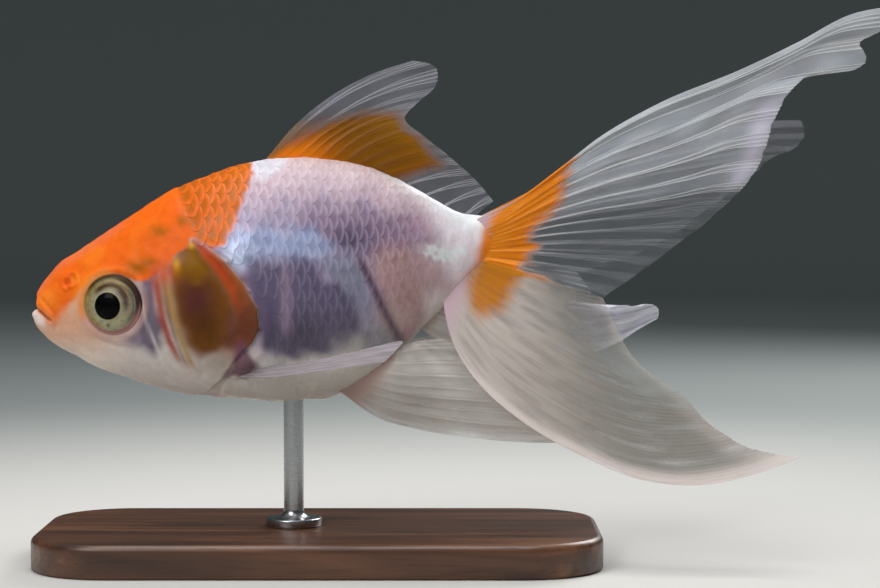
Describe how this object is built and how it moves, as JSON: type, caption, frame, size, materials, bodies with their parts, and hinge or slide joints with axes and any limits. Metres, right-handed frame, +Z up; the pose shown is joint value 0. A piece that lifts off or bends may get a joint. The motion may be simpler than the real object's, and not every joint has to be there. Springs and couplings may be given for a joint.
{
  "type": "fancy goldfish display model",
  "caption": "Still, life-size model of a young twin-tailed fancy goldfish, swimming with spread fins, held on a slim rod above a flat wooden base.",
  "frame": {"origin": "middle of the underside of the stand's base", "axes": "+X towards the tail, the fish's head points to -X; -Y is the fish's left side; +Z up"},
  "size_m": [0.13, 0.0598, 0.0831],
  "materials": {
    "orange_skin": "wet skin, orange, semi-gloss",
    "pale_skin": "wet scaled skin, pinkish white and lavender, pearly",
    "gill_cover_skin": "thin clear skin over brown gills, with an orange rim",
    "eye": "silvery green iris and black pupil under a clear wet cornea",
    "fin_membrane": "milky, see-through membrane with pale branching rays, orange at the base",
    "walnut": "oiled walnut, satin",
    "steel": "brushed stainless steel"
  },
  "bodies": {
    "root": {"head": "orange_skin", "lower_jaw": "pale_skin", "gill_cover_left": "gill_cover_skin", "gill_cover_right": "gill_cover_skin", "eye_left": "eye", "eye_right": "eye", "trunk": "pale_skin", "tail_stalk": "pale_skin", "dorsal_fin": "fin_membrane", "tail_upper_left": "fin_membrane", "tail_lower_left": "fin_membrane", "tail_upper_right": "fin_membrane", "tail_lower_right": "fin_membrane", "pectoral_left": "fin_membrane", "pectoral_right": "fin_membrane", "pelvic_left": "fin_membrane", "pelvic_right": "fin_membrane", "anal_left": "fin_membrane", "anal_right": "fin_membrane", "stand_base": "walnut", "stand_rod": "steel"}
  },
  "joints": []
}
